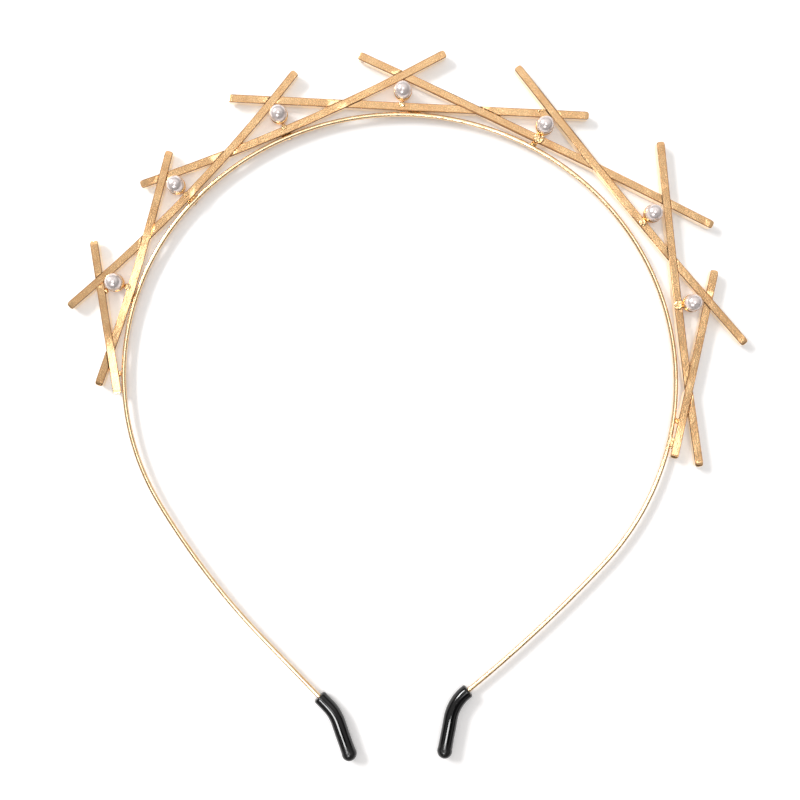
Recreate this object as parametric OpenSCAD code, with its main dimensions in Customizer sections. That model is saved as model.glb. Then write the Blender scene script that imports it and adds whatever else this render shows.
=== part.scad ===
// Halo crown headband: a bent wire band carries a nest of crossed bars, a pearl sits
// in a cup in each gap between the bars, and a rubber cap closes each end of the wire.
// Lengths are in millimetres and angles in degrees. The wire lies in the plane z = 0,
// the crown's top points to +Y and the pearls face +Z. The origin is where the middle of
// the wearer's head comes.

/* [Headband wire] */
// Diameter of the round wire
wire_d = 1.1; // [0.9:0.1:1.6]
// Distance from the origin up to the middle of the wire at the top
band_top = 64.5; // [62:0.1:67]
// Bend radius of the top arc, right half
right_top_r = 65.9; // [61:0.1:71]
// Bend radius of the top arc, left half
left_top_r = 67.4; // [62:0.1:72]
// Bend radius of the right side
right_side_r = 61.7; // [56:0.1:68]
// Bend radius of the left side
left_side_r = 58.3; // [54:0.1:66]
// Bend radius of the right arm, almost straight
right_arm_r = 320; // [200:5:600]
// Bend radius of the left arm
left_arm_r = 175; // [120:5:400]
// Turn of the top arc, right half
right_top_turn = 40.5; // [36:0.5:46]
// Turn of the top arc, left half
left_top_turn = 44; // [40:1:46]
// Turn of the right side
right_side_turn = 92.5; // [86:0.5:98]
// Turn of the left side
left_side_turn = 77; // [70:1:84]
// Turn of the right arm
right_arm_turn = 7.5; // [5:0.5:10]
// Turn of the left arm
left_arm_turn = 13; // [9:0.5:16]
// Straight run at the end of the right arm
right_arm_run = 2.7; // [1.9:0.1:6]
// Straight run at the end of the left arm
left_arm_run = 22.2; // [18:0.1:26]
// Radius of the outward bend at each tip
tip_bend_r = 10; // [7:0.5:14]
// Turn of the outward bend at the right tip
right_tip_turn = 40; // [30:1:46]
// Turn of the outward bend at the left tip
left_tip_turn = 25; // [20:1:40]
// Straight run of the wire after the bend at each tip
tip_run = 6.8; // [5:0.1:9]

/* [End caps] */
// Outside diameter of a cap's sleeve
cap_d = 3.3; // [2.4:0.1:3.3]
// Diameter that the sleeve swells to where it meets the ball
cap_neck_d = 3.35; // [3.3:0.05:3.45]
// Diameter of the ball at a cap's end
ball_d = 3.5; // [3.5:0.1:4.2]
// Length of the right sleeve over the straight wire before the bend
right_cap_lead = 0.95; // [0.8:0.05:1.9]
// Length of the left sleeve over the straight wire before the bend
left_cap_lead = 3.2; // [1:0.05:4]
// Length from the wire's end to the centre of the ball
cap_nose = 1; // [0.5:0.1:2]
// Bevel round a cap's mouth
cap_lip = 0.25; // [0.1:0.05:0.4]
// Room between the wire and a cap's bore, on each side
cap_fit = 0.03; // [0.01:0.01:0.06]

/* [Bars] */
// Width of a bar
bar_w = 1.9; // [1.7:0.05:2]
// Thickness of a bar
bar_t = 1.8; // [1.5:0.1:2.1]
// Bevel along a bar's edges
bar_edge = 0.1; // [0.05:0.05:0.3]
// Room beside a bar in a lap, on each side
lap_room = 0.05; // [0.02:0.01:0.1]
// Width of the bevelled shoulder on each side of a lap
lap_bevel = 0.4; // [0.2:0.05:0.6]
// Gap between the wire and a bar that is soldered to it
solder_gap = 0.05; // [0.02:0.01:0.1]

/* [Pearls and cups] */
// Diameter of a pearl
pearl_d = 4.1; // [3.8:0.05:4.3]
// Depth of a cup's rim below the middle of its pearl
rim_drop = 0.85; // [0.7:0.05:1]
// Height of a cup from its foot to its rim
cup_h = 3.75; // [3.4:0.05:4.1]
// Diameter of a cup at its rim
cup_d = 4.2; // [4.1:0.05:4.3]
// Diameter of a cup's flat foot
foot_d = 2.8; // [2:0.1:3.2]
// Gap between a cup and the bar that carries it
seat_gap = 0.05; // [0.02:0.01:0.1]
// Film of glue round a pearl and round a peg
glue_film = 0.03; // [0.01:0.01:0.05]
// Diameter of the peg in a pearl
peg_d = 0.8; // [0.6:0.05:1]
// Depth of the peg in the cup, below the pearl
peg_root = 1.2; // [0.8:0.1:1.6]

/* [Solder] */
// Thickness of the fillet that fills the groove between a bar and the wire
fillet_d = 0.4; // [0.3:0.05:0.5]
// Length of a fillet
fillet_l = 3; // [2:0.1:4]
// Width of the lump between a cup and its bar
lump_d = 1.5; // [1.2:0.1:1.8]
// Height of a lump
lump_h = 0.45; // [0.3:0.05:0.6]
// Length of a web between a bar and the wire, along the bar
web_l = 1.3; // [1:0.1:1.6]
// Height of a web
web_h = 0.9; // [0.6:0.1:1.1]
// Seam between solder and the pieces that it joins
seam = 0.02; // [0.01:0.01:0.03]

/* [Hidden] */
$fn = 64;
// Fragments of a full turn on the bars' shallow bows
bow_fn = 1440;
// Sides of the wire and of a cap, and the largest turn between two rings of either
wire_sides = 16;
cap_sides = 24;
ring_turn = 3.5;
// Rings on a cap's ball
ball_rings = 8;
// Step down from a bar's sides to its round ends
end_step = 0.02;

// Bends of each half of the wire from the top down: [radius, turn], or [0, length] if straight
right_bends = [
    [right_top_r, right_top_turn],
    [right_side_r, right_side_turn],
    [right_arm_r, right_arm_turn],
    [0, right_arm_run],
    [tip_bend_r, -right_tip_turn],
    [0, tip_run]
];
left_bends = [
    [left_top_r, left_top_turn],
    [left_side_r, left_side_turn],
    [left_arm_r, left_arm_turn],
    [0, left_arm_run],
    [tip_bend_r, -left_tip_turn],
    [0, tip_run]
];
// Place of the tip's bend in both lists
tip_bend = 4;

// Bars in clockwise order: [name, angle that the bar faces, gap to the wire there,
// back end, fore end, rise]. A bar lies square to its angle, seen from the centre of the
// wire's arc below it. Its ends are counted clockwise from the point that faces that
// centre, and the rise is how far the bar bows away at bow_span from that point, or
// towards the wire if it is negative.
BARS = [
    ["bar_left_low", 188.7, -0.15, 4.6, 40.8, 0],
    ["bar_left_side", 162.4, solder_gap, -21.8, 35.4, 1.4],
    ["bar_left_shoulder", 136, 0.2, -37.9, 38.3, 2.2],
    ["bar_left_top", 113, solder_gap, -35.9, 41.6, 1.8],
    ["bar_center", 87.2, solder_gap, -43.5, 40.8, 0],
    ["bar_right_top", 64.4, 0.6, -43.1, 48.6, -0.4],
    ["bar_right_shoulder", 39.5, 1.8, -41.3, 42.5, 0.7],
    ["bar_right_side", 7.3, 0.5, -48.4, 28, 0.6],
    ["bar_right_low", -12.2, 0.25, -40.6, 4.4, 0]
];
bow_span = 40;

// Laps between bars, by place in BARS: [the bar on top, the bar below]
LAPS = [
    [0, 1], [1, 2], [2, 3], [3, 4], [5, 4], [6, 5], [7, 6], [8, 7],
    [2, 0], [1, 3], [2, 4], [3, 5], [6, 4], [7, 5], [6, 8]
];

// Cups in clockwise order. Each stands on a bar, in the gap under the crossing of the bars
// before and after it: [extra gap to its bar, share of the way from the bar before it to
// the bar after it]. The first stands on the second bar, and so on.
SEATS = [[0.6, 0.9], [0.25, 0.84], [0.5, 0.46], [0.2, 0.4], [0, 0.24], [0, 0.7], [0, 0.25]];

// Fillets between bars and the wire: [bar, place along it, 1 for the front or -1 for the back]
FILLETS = [[1, 0, -1], [2, 0, -1], [3, 0, -1], [4, 0, -1], [8, 0.9, 1]];
// Webs from bars to the wire: [bar, place along it]
WEBS = [[0, 9.2], [5, 2.7], [8, -4.3]];

cup_count = len(SEATS);
floor_z = -ball_d / 2;
rim_z = floor_z + cup_h;
pearl_z = rim_z + rim_drop;
peg_bottom_z = pearl_z - pearl_d / 2 - peg_root;
peg_top_z = pearl_z;
flare = (cup_d - foot_d) / 2;
// Radius of the arc that a cup's side follows, upright at the rim
cup_side_r = (flare * flare + cup_h * cup_h) / (2 * flare);

function cup_name(k) = str("pearl_cup_", k + 1);
function pearl_name(k) = str("pearl_", k + 1);

gold = "goldenrod";
bright_gold = "gold";

// Directions of a bar that faces the given angle: away from the arc's centre, and clockwise
function outward(angle) = [cos(angle), sin(angle)];
function clockwise(angle) = [sin(angle), -cos(angle)];

// Arc of the wire that faces the given angle: [centre, radius]
function wire_arc(angle) =
    let (
        right = angle <= 90,
        bends = right ? right_bends : left_bends,
        top = bends[0],
        side = bends[1],
        top_centre = [0, band_top - top[0]],
        joint = right ? 90 - top[1] : 90 + top[1],
        on_top = right ? angle >= joint : angle <= joint
    )
    on_top ? [top_centre, top[0]] : [top_centre + (top[0] - side[0]) * outward(joint), side[0]];

// Distance of a bar's centreline from the centre of its arc, where it faces that centre
function bar_reach(i) = wire_arc(BARS[i][1])[1] + wire_d / 2 + BARS[i][2] + bar_w / 2;
// Radius of a bar's bow, negative if it bows towards the wire, and how far and how steeply
// the bar has bowed away at place t
function bow_r(i) = bow_span * bow_span / (2 * BARS[i][5]);
function is_bowed(i) = BARS[i][5] != 0;
function bow(i, t) =
    is_bowed(i) ? bow_r(i) - sign(bow_r(i)) * sqrt(bow_r(i) * bow_r(i) - t * t) : 0;
function slope(i, t) = is_bowed(i) ? asin(t / bow_r(i)) : 0;
// Place p seen from the centre of bar i's arc: outward, and clockwise
function seen(i, p) =
    let (q = p - wire_arc(BARS[i][1])[0])
    [q * outward(BARS[i][1]), q * clockwise(BARS[i][1])];
// The way that a bar runs at place t, and the point there at some lift outward of its centreline
function heading(i, t) = BARS[i][1] - 90 + slope(i, t);
function spot(i, t, lift = 0) =
    wire_arc(BARS[i][1])[0] + (bar_reach(i) + bow(i, t)) * outward(BARS[i][1])
    + t * clockwise(BARS[i][1]) + lift * outward(heading(i, t) + 90);

// Gap between the inner side of bar i and the wire, at place t along the bar
function wire_gap(i, t) =
    bar_reach(i) + bow(i, t) - bar_w / 2 - sqrt(pow(wire_arc(BARS[i][1])[1] + wire_d / 2, 2) - t * t);

// Place along bar i, lifted outward, that lies some drop inside bar j's centreline: where
// the centrelines cross if both are 0. It is found in a few steps.
function meet(i, j, lift = 0, drop = 0, t = 0, steps = 8) =
    steps == 0 ? t :
    let (
        place = seen(j, spot(i, t, lift)),
        away = place[0] - bar_reach(j) - bow(j, place[1]) + drop
    )
    meet(i, j, lift, drop, t - away / sin(BARS[i][1] - BARS[j][1]), steps - 1);

// Outside radius of a cup at height z
function cup_r(z) = cup_d / 2 - cup_side_r + sqrt(pow(cup_side_r, 2) - pow(rim_z - z, 2));
// Bar that carries cup k, the cup's place along it and its distance outward of the bar's centreline
function carrier(k) = k + 1;
function cup_lift(k) = bar_w / 2 + seat_gap + SEATS[k][0] + cup_r(bar_t / 2);
function cup_place(k) =
    let (
        i = carrier(k),
        drop = bar_w / 2 + cup_r(bar_t / 2),
        back = meet(i, i - 1, cup_lift(k), drop),
        fore = meet(i, i + 1, cup_lift(k), drop)
    )
    back + SEATS[k][1] * (fore - back);
function cup_spot(k) = spot(carrier(k), cup_place(k), cup_lift(k));

// A station on the wire is [x, y, heading]. This is the one reached from a station by a
// share of a bend, which turns clockwise if its turn is positive.
function ahead(from, bend, share = 1) =
    let (h = from[2], far = share * bend[1], side = sign(bend[1]) * bend[0])
    bend[0] == 0 ?
        [from[0] + far * cos(h), from[1] + far * sin(h), h] :
        [from[0] + side * (sin(h) - sin(h - far)), from[1] + side * (cos(h - far) - cos(h)), h - far];
// Stations along one bend, without its first
function along_bend(from, bend) =
    let (count = bend[0] == 0 ? 1 : ceil(abs(bend[1]) / ring_turn))
    [for (n = [1 : count]) ahead(from, bend, n / count)];
// Station at the end of the first bends of a list, and the stations along some of them
function after(bends, count, from = top_station, done = 0) =
    done == count ? from : after(bends, count, ahead(from, bends[done]), done + 1);
function stations(bends, first, last) =
    [for (k = [first : last]) each along_bend(after(bends, k), bends[k])];
function reversed(list) = [for (n = [len(list) - 1 : -1 : 0]) list[n]];
// The same station on the other half of the wire, walked the other way
function mirrored(s) = [-s[0], s[1], -s[2]];
// Ring round a station: [x, y, heading, radius]
function ring(station, r) = concat(station, r);

top_station = [0, band_top, 0];

// Closed skin over a row of rings
module skin(rings, sides) {
    count = len(rings);
    points = [
        for (s = rings, q = [0 : sides - 1])
            let (a = 360 * q / sides, off = s[3] * cos(a))
            [s[0] - off * sin(s[2]), s[1] + off * cos(s[2]), s[3] * sin(a)]
    ];
    walls = [
        for (n = [0 : count - 2], q = [0 : sides - 1])
            let (a = n * sides + q, b = n * sides + (q + 1) % sides)
            [a, a + sides, b + sides, b]
    ];
    start = [for (q = [0 : sides - 1]) q];
    end = [for (q = [sides - 1 : -1 : 0]) (count - 1) * sides + q];
    polyhedron(points, concat([start], walls, [end]));
}

// The band: one wire, bent from tip to tip
module headband_wire() {
    left = [for (s = stations(left_bends, 0, tip_bend + 1)) mirrored(s)];
    right = stations(right_bends, 0, tip_bend + 1);
    color(bright_gold)
        skin([for (s = concat(reversed(left), [top_station], right)) ring(s, wire_d / 2)], wire_sides);
}

// Rubber sleeve over a tip of the wire, with a ball at its end: the skin runs from the
// bottom of the bore out to the mouth, and from there along the outside to the ball
module end_cap(bends, lead) {
    bore_r = wire_d / 2 + cap_fit;
    bend_start = after(bends, tip_bend);
    mouth = ahead(bend_start, [0, -lead]);
    lip = ahead(bend_start, [0, cap_lip - lead]);
    bend = along_bend(bend_start, bends[tip_bend]);
    bend_end = after(bends, tip_bend + 1);
    bore_end = ahead(bend_end, [0, tip_run + cap_fit]);
    ball = ahead(bend_end, [0, tip_run + cap_nose]);
    neck_turn = 180 - asin(cap_neck_d / ball_d);
    color("black") skin(concat(
        [ring(bore_end, bore_r)],
        [for (s = reversed(bend)) ring(s, bore_r)],
        [ring(bend_start, bore_r), ring(mouth, bore_r)],
        [ring(mouth, cap_d / 2 - cap_lip), ring(lip, cap_d / 2), ring(bend_start, cap_d / 2)],
        [for (s = bend) ring(s, cap_d / 2)],
        [
            for (n = [0 : ball_rings - 1])
                let (turn = neck_turn * (1 - n / ball_rings))
                ring(ahead(ball, [0, ball_d / 2 * cos(turn)]), ball_d / 2 * sin(turn))
        ]
    ), cap_sides);
}

// Places its children on bar i at place t, with x along the bar and y outward
module on_bar(i, t) {
    translate(spot(i, t)) rotate([0, 0, heading(i, t)]) children();
}

// Right half of a bar's cross-section, drawn in by the given step
module half_section(step = 0) {
    w = bar_w / 2 - step;
    h = bar_t / 2 - step;
    polygon([
        [0, -h],
        [w - bar_edge, -h],
        [w, -h + bar_edge],
        [w, h - bar_edge],
        [w - bar_edge, h],
        [0, h]
    ]);
}

module bar_section() {
    half_section();
    mirror([1, 0, 0]) half_section();
}

// Round end of bar i about the point t on its centreline
module bar_end(i, t) {
    translate(spot(i, t)) rotate_extrude() half_section(end_step);
}

// Bar i before its laps are cut: straight or bowed, with round ends
module bar_blank(i) {
    from = BARS[i][3] + bar_w / 2;
    to = BARS[i][4] - bar_w / 2;
    start = BARS[i][5] > 0 ? slope(i, from) - 90 : slope(i, to) + 90;
    on_bar(i, 0)
        if (is_bowed(i))
            translate([0, bow_r(i), 0]) rotate([0, 0, start])
                rotate_extrude(angle = abs(slope(i, to) - slope(i, from)), $fn = bow_fn)
                    translate([abs(bow_r(i)), 0]) bar_section();
        else
            translate([from, 0, 0]) rotate([90, 0, 90]) linear_extrude(to - from) bar_section();
    bar_end(i, from);
    bar_end(i, to);
}

// Room that bar j takes out of bar i where they cross: half of the thickness
module lap(i, j, j_on_top) {
    half = bar_w / 2 + lap_room;
    reach = 2 * (bar_w + lap_room + lap_bevel) / abs(sin(BARS[i][1] - BARS[j][1]));
    on_bar(j, meet(j, i)) rotate([90, 0, 90])
        linear_extrude(2 * reach, center = true)
            if (j_on_top)
                polygon([
                    [-half, 0],
                    [half, 0],
                    [half + 2 * lap_bevel, bar_t],
                    [-half - 2 * lap_bevel, bar_t]
                ]);
            else
                translate([-half, -bar_t]) square([2 * half, bar_t]);
}

// One bar of the nest, halved where it crosses its neighbours
module bar(i) {
    color(gold) difference() {
        bar_blank(i);
        for (pair = LAPS) {
            if (pair[0] == i)
                lap(i, pair[1], false);
            if (pair[1] == i)
                lap(i, pair[0], true);
        }
    }
}

// Outside of a cup: a bowl on a flat foot
module cup_blank() {
    rotate_extrude() intersection() {
        translate([0, floor_z]) square([cup_d / 2, cup_h]);
        translate([cup_d / 2 - cup_side_r, rim_z]) circle(r = cup_side_r);
    }
}

// Cup k, hollowed for its pearl and drilled for the peg
module pearl_cup(k) {
    color(bright_gold) translate(cup_spot(k)) difference() {
        cup_blank();
        translate([0, 0, pearl_z]) sphere(r = pearl_d / 2 + glue_film);
        translate([0, 0, peg_bottom_z]) cylinder(r = peg_d / 2 + glue_film, h = peg_top_z - peg_bottom_z);
    }
}

// Pearl k, drilled half through for the peg
module pearl(k) {
    color("whitesmoke") translate(cup_spot(k)) difference() {
        translate([0, 0, pearl_z]) sphere(d = pearl_d);
        translate([0, 0, peg_bottom_z])
            cylinder(r = peg_d / 2 + glue_film, h = peg_top_z + glue_film - peg_bottom_z);
    }
}

// Pegs that hold the pearls in their cups
module pearl_pegs() {
    color(gold)
        for (k = [0 : cup_count - 1])
            translate(concat(cup_spot(k), peg_bottom_z)) cylinder(d = peg_d, h = peg_top_z - peg_bottom_z);
}

// Fillet of solder in the groove between bar i and the wire, in front or behind
module fillet(i, t, side) {
    r = fillet_d / 2;
    across = wire_gap(i, t) + wire_d / 2 - r;
    up = sqrt(pow(wire_d / 2 + r + seam, 2) - pow(across, 2));
    on_bar(i, t) translate([0, -bar_w / 2 - r - seam, side * up]) rotate([0, 90, 0])
        cylinder(r = r, h = fillet_l, center = true);
}

// Web of solder from the inner side of bar i to the wire
module web(i, t) {
    half = web_l / 2;
    fore = wire_gap(i, t + half) - 2 * seam;
    back = wire_gap(i, t - half) - 2 * seam;
    on_bar(i, t) translate([0, -bar_w / 2 - seam, -web_h / 2]) linear_extrude(web_h)
        polygon([[-half, 0], [half, 0], [half, -fore], [-half, -back]]);
}

// Solder that joins bars to the wire
module band_solder() {
    color(bright_gold) {
        for (place = FILLETS)
            fillet(place[0], place[1], place[2]);
        for (place = WEBS)
            web(place[0], place[1]);
    }
}

// Domed lump of solder on each bar, against the cup that it carries
module cup_solder() {
    dome_r = (pow(lump_d / 2, 2) + pow(lump_h, 2)) / (2 * lump_h);
    color(bright_gold)
        for (k = [0 : cup_count - 1])
            on_bar(carrier(k), cup_place(k))
                translate([0, cup_lift(k) - cup_r(bar_t / 2) - seam - lump_d / 2, bar_t / 2])
                    rotate_extrude() intersection() {
                        square([lump_d / 2, lump_h]);
                        translate([0, lump_h - dome_r]) circle(r = dome_r);
                    }
}

headband_wire();
for (i = [0 : len(BARS) - 1])
    bar(i);
for (k = [0 : cup_count - 1])
    pearl_cup(k);
for (k = [0 : cup_count - 1])
    pearl(k);
pearl_pegs();
mirror([1, 0, 0]) end_cap(left_bends, left_cap_lead);  // end_cap_left
end_cap(right_bends, right_cap_lead);  // end_cap_right
band_solder();
cup_solder();
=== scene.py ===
import logging
import math
from dataclasses import dataclass
from enum import Enum
from typing import Any, Callable, Iterable, Sequence

import bmesh
import bpy
import numpy as np
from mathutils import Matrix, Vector, noise


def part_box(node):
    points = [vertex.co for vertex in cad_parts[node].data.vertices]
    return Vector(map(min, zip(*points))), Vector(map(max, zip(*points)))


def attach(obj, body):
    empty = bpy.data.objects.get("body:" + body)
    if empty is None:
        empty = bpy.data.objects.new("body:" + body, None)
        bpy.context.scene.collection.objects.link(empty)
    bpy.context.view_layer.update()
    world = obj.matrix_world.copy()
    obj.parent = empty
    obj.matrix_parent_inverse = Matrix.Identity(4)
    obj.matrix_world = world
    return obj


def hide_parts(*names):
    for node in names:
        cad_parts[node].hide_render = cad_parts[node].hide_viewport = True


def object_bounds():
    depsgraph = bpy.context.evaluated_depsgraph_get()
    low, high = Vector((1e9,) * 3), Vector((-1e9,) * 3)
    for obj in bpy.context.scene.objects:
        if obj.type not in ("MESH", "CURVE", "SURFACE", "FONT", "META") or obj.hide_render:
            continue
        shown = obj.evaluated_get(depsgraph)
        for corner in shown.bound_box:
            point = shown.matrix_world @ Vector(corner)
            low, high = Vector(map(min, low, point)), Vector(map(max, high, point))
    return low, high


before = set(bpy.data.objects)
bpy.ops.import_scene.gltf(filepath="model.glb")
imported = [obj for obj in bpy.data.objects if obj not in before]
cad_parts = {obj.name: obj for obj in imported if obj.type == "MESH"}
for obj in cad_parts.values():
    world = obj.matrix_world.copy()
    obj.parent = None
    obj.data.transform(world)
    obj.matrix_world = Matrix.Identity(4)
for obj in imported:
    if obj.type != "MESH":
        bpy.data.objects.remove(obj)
CAD_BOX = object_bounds()

LOG = logging.getLogger("crown")
MM = 0.001
BODY = "root"
# Points of a CAD mesh that lie closer together than this are one point
WELD = 0.0005 * MM
# Nearly all values of a noise texture lie between these two
NOISE_LOW = 0.3
NOISE_HIGH = 0.7


def linear(hex_code: str) -> tuple[float, float, float, float]:
    """Turn an sRGB hex colour into linear light.

    Args:
        hex_code: Six hex digits with a leading hash.

    Returns:
        Linear red, green and blue, and an alpha of 1.
    """
    shares = [int(hex_code[k:k + 2], 16) / 255 for k in (1, 3, 5)]
    red, green, blue = (s / 12.92 if s <= 0.04045 else ((s + 0.055) / 1.055) ** 2.4 for s in shares)
    return red, green, blue, 1.0


def add(tree: bpy.types.NodeTree, kind: str, inputs: dict[Any, Any] | None = None,
        **settings: Any) -> bpy.types.Node:
    """Add a node with its settings, socket values and links.

    Args:
        tree: The node tree that gets the node.
        kind: The node's Blender type.
        inputs: Socket name or number to a value, or to the output socket that feeds it.
        settings: Attributes of the node itself.

    Returns:
        The new node.
    """
    node = tree.nodes.new(kind)
    for name, value in settings.items():
        setattr(node, name, value)
    for socket, value in (inputs or {}).items():
        if isinstance(value, bpy.types.NodeSocket):
            tree.links.new(value, node.inputs[socket])
        else:
            node.inputs[socket].default_value = value
    return node


class Grain(Enum):
    """Attributes that a piece's mesh carries for its finish."""

    # Place along the bar, across it and up, in metres
    ALONG_BAR = "along_bar"
    # 1 where a cap's end dried dull, and 0 on its sleeve
    DULL = "dull"


@dataclass(frozen=True)
class Finish:
    """A surface: what the material is and how it was made, as a shader."""

    name: str

    def material(self) -> bpy.types.Material:
        """Return the finish's material, made on first use.

        Returns:
            The shared Blender material.
        """
        made = bpy.data.materials.get(self.name)
        if made is None:
            made = bpy.data.materials.new(self.name)
            made.use_nodes = True
            tree = made.node_tree
            tree.nodes.clear()
            shader = self.shader(tree)
            add(tree, "ShaderNodeOutputMaterial", {"Surface": shader.outputs[0]})
        return made

    def shader(self, tree: bpy.types.NodeTree) -> bpy.types.Node:
        """Build the finish's shader; each finish has its own.

        Args:
            tree: The material's node tree.

        Returns:
            The shader node.
        """
        raise NotImplementedError


@dataclass(frozen=True)
class SatinGold(Finish):
    """Gold-plated cast alloy, blasted with fine grit, brushed a little along the bar and lacquered.

    The eye gets a soft tan gold with a fine speckle, short strokes along the length, small bright
    and dull patches, painted shade as browner rims along the face, and smoother sides painted
    paler as a painted reflection of the white table.
    """

    tone: str = "#f9d09b"
    deep_tone: str = "#e6b077"
    # Painted shade: the face darkens toward this brown at its rims
    rim_shade_tone: str = "#ad7a48"
    # Painted reflection: the sides take this paler tone, as though mirroring the white table
    side_reflection_tone: str = "#ffe2ba"
    roughness: float = 0.24
    side_roughness: float = 0.14
    lacquer_roughness: float = 0.12
    # The real strokes and grit are about 0.05 mm apart. They are drawn coarser, so that they show.
    stroke_gap_mm: float = 0.35
    stroke_length_mm: float = 1.6
    grit_mm: float = 0.3
    patch_mm: float = 3.5
    # Share of the grit in the fine texture, and of the patches in the whole
    grit_share: float = 0.7
    patch_share: float = 0.4
    # Values of the whole texture that give the deep tone and the light one
    deep_at: float = 0.35
    light_at: float = 0.65
    # Share by which the roughness varies
    uneven_share: float = 0.18
    # How far from the bar's middle line the painted rim shade starts and is full
    rim_shade_from_mm: float = 0.7
    rim_shade_to_mm: float = 0.88
    # How high up the sides, with their painted reflection, end and the face starts
    side_top_mm: float = 0.78
    face_mm: float = 0.84
    relief_mm: float = 0.03
    dent_mm: float = 0.12

    def shader(self, tree: bpy.types.NodeTree) -> bpy.types.Node:
        """Blast and brush the metal in the bar's own coordinates.

        Args:
            tree: The material's node tree.

        Returns:
            The shader node.
        """
        place = add(tree, "ShaderNodeAttribute", attribute_name=Grain.ALONG_BAR.value).outputs["Vector"]
        per_gap = 1 / (self.stroke_gap_mm * MM)
        stretched = add(tree, "ShaderNodeVectorMath", {
            0: place, 1: (1 / (self.stroke_length_mm * MM), per_gap, per_gap),
        }, operation="MULTIPLY").outputs[0]
        strokes = add(tree, "ShaderNodeTexNoise", {
            "Vector": stretched, "Scale": 1.0, "Detail": 3.0,
        }).outputs["Fac"]
        grit = add(tree, "ShaderNodeTexNoise", {
            "Vector": place, "Scale": 1 / (self.grit_mm * MM), "Detail": 2.0,
        }).outputs["Fac"]
        patches = add(tree, "ShaderNodeTexNoise", {
            "Vector": place, "Scale": 1 / (self.patch_mm * MM), "Detail": 3.0,
        }).outputs["Fac"]
        texture = add(tree, "ShaderNodeMix", {"Factor": self.grit_share, 2: strokes, 3: grit}).outputs[0]
        blotch = add(tree, "ShaderNodeMix", {"Factor": self.patch_share, 2: texture, 3: patches}).outputs[0]
        shade = add(tree, "ShaderNodeMapRange", {
            "Value": blotch, "From Min": self.deep_at, "From Max": self.light_at,
        }).outputs[0]
        face_colour = add(tree, "ShaderNodeMix", {
            "Factor": shade, 6: linear(self.deep_tone), 7: linear(self.tone),
        }, data_type="RGBA").outputs[2]
        sides = add(tree, "ShaderNodeSeparateXYZ", {0: place}).outputs
        off_centre = add(tree, "ShaderNodeMath", {0: sides["Y"]}, operation="ABSOLUTE").outputs[0]
        # Painted shade: the top face darkens toward its edges
        rim_shade_reach = add(tree, "ShaderNodeMapRange", {
            "Value": off_centre, "From Min": self.rim_shade_from_mm * MM, "From Max": self.rim_shade_to_mm * MM,
        }).outputs[0]
        on_top = add(tree, "ShaderNodeMapRange", {
            "Value": sides["Z"], "From Min": self.side_top_mm * MM, "From Max": self.face_mm * MM,
        }).outputs[0]
        rim_shade = add(tree, "ShaderNodeMath", {0: rim_shade_reach, 1: on_top}, operation="MULTIPLY").outputs[0]
        # Painted reflection: below the face the sides get the paler tone of the white table that they mirror
        with_side_reflection = add(tree, "ShaderNodeMix", {
            "Factor": on_top, 6: linear(self.side_reflection_tone), 7: face_colour,
        }, data_type="RGBA").outputs[2]
        # The painted rim shade is mixed in along the face's edges
        colour = add(tree, "ShaderNodeMix", {
            "Factor": rim_shade, 6: with_side_reflection, 7: linear(self.rim_shade_tone),
        }, data_type="RGBA").outputs[2]
        rubbed = add(tree, "ShaderNodeMapRange", {
            "Value": on_top, "To Min": self.side_roughness, "To Max": self.roughness,
        }).outputs[0]
        unevenness = add(tree, "ShaderNodeMapRange", {
            "Value": blotch, "From Min": NOISE_LOW, "From Max": NOISE_HIGH,
            "To Min": 1 - self.uneven_share, "To Max": 1 + self.uneven_share,
        }).outputs[0]
        roughness = add(tree, "ShaderNodeMath", {0: rubbed, 1: unevenness}, operation="MULTIPLY").outputs[0]
        dents = add(tree, "ShaderNodeBump", {
            "Height": patches, "Distance": self.dent_mm * MM, "Strength": 1.0,
        }).outputs[0]
        relief = add(tree, "ShaderNodeBump", {
            "Height": texture, "Distance": self.relief_mm * MM, "Strength": 1.0, "Normal": dents,
        }).outputs[0]
        return add(tree, "ShaderNodeBsdfPrincipled", {
            "Base Color": colour, "Metallic": 1.0, "Roughness": roughness, "Normal": relief,
            "Coat Weight": 1.0, "Coat Roughness": self.lacquer_roughness, "Coat Normal": relief,
        })


@dataclass(frozen=True)
class BrightGold(Finish):
    """Gold plating over a smooth metal that was drawn, pressed or soldered.

    The eye gets clear reflections with a little ripple, and a slightly deeper tone in patches.
    """

    tone: str = "#f7d49a"
    deep_tone: str = "#e9b773"
    roughness: float = 0.14
    # The roughness of the deep patches and of the light ones, as shares of the whole
    deep_share: float = 1.3
    light_share: float = 0.8
    ripple_mm: float = 1.6
    ripple_depth_mm: float = 0.006

    def shader(self, tree: bpy.types.NodeTree) -> bpy.types.Node:
        """Polish the metal, with a faint ripple and uneven plating.

        Args:
            tree: The material's node tree.

        Returns:
            The shader node.
        """
        place = add(tree, "ShaderNodeTexCoord").outputs["Object"]
        ripple = add(tree, "ShaderNodeTexNoise", {
            "Vector": place, "Scale": 1 / (self.ripple_mm * MM), "Detail": 2.0,
        }).outputs["Fac"]
        shade = add(tree, "ShaderNodeMapRange", {
            "Value": ripple, "From Min": NOISE_LOW, "From Max": NOISE_HIGH,
        }).outputs[0]
        colour = add(tree, "ShaderNodeMix", {
            "Factor": shade, 6: linear(self.deep_tone), 7: linear(self.tone),
        }, data_type="RGBA").outputs[2]
        roughness = add(tree, "ShaderNodeMapRange", {
            "Value": ripple, "From Min": NOISE_LOW, "From Max": NOISE_HIGH,
            "To Min": self.roughness * self.deep_share, "To Max": self.roughness * self.light_share,
        }).outputs[0]
        relief = add(tree, "ShaderNodeBump", {
            "Height": ripple, "Distance": self.ripple_depth_mm * MM, "Strength": 1.0,
        }).outputs[0]
        return add(tree, "ShaderNodeBsdfPrincipled", {
            "Base Color": colour, "Metallic": 1.0, "Roughness": roughness, "Normal": relief,
        })


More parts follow.
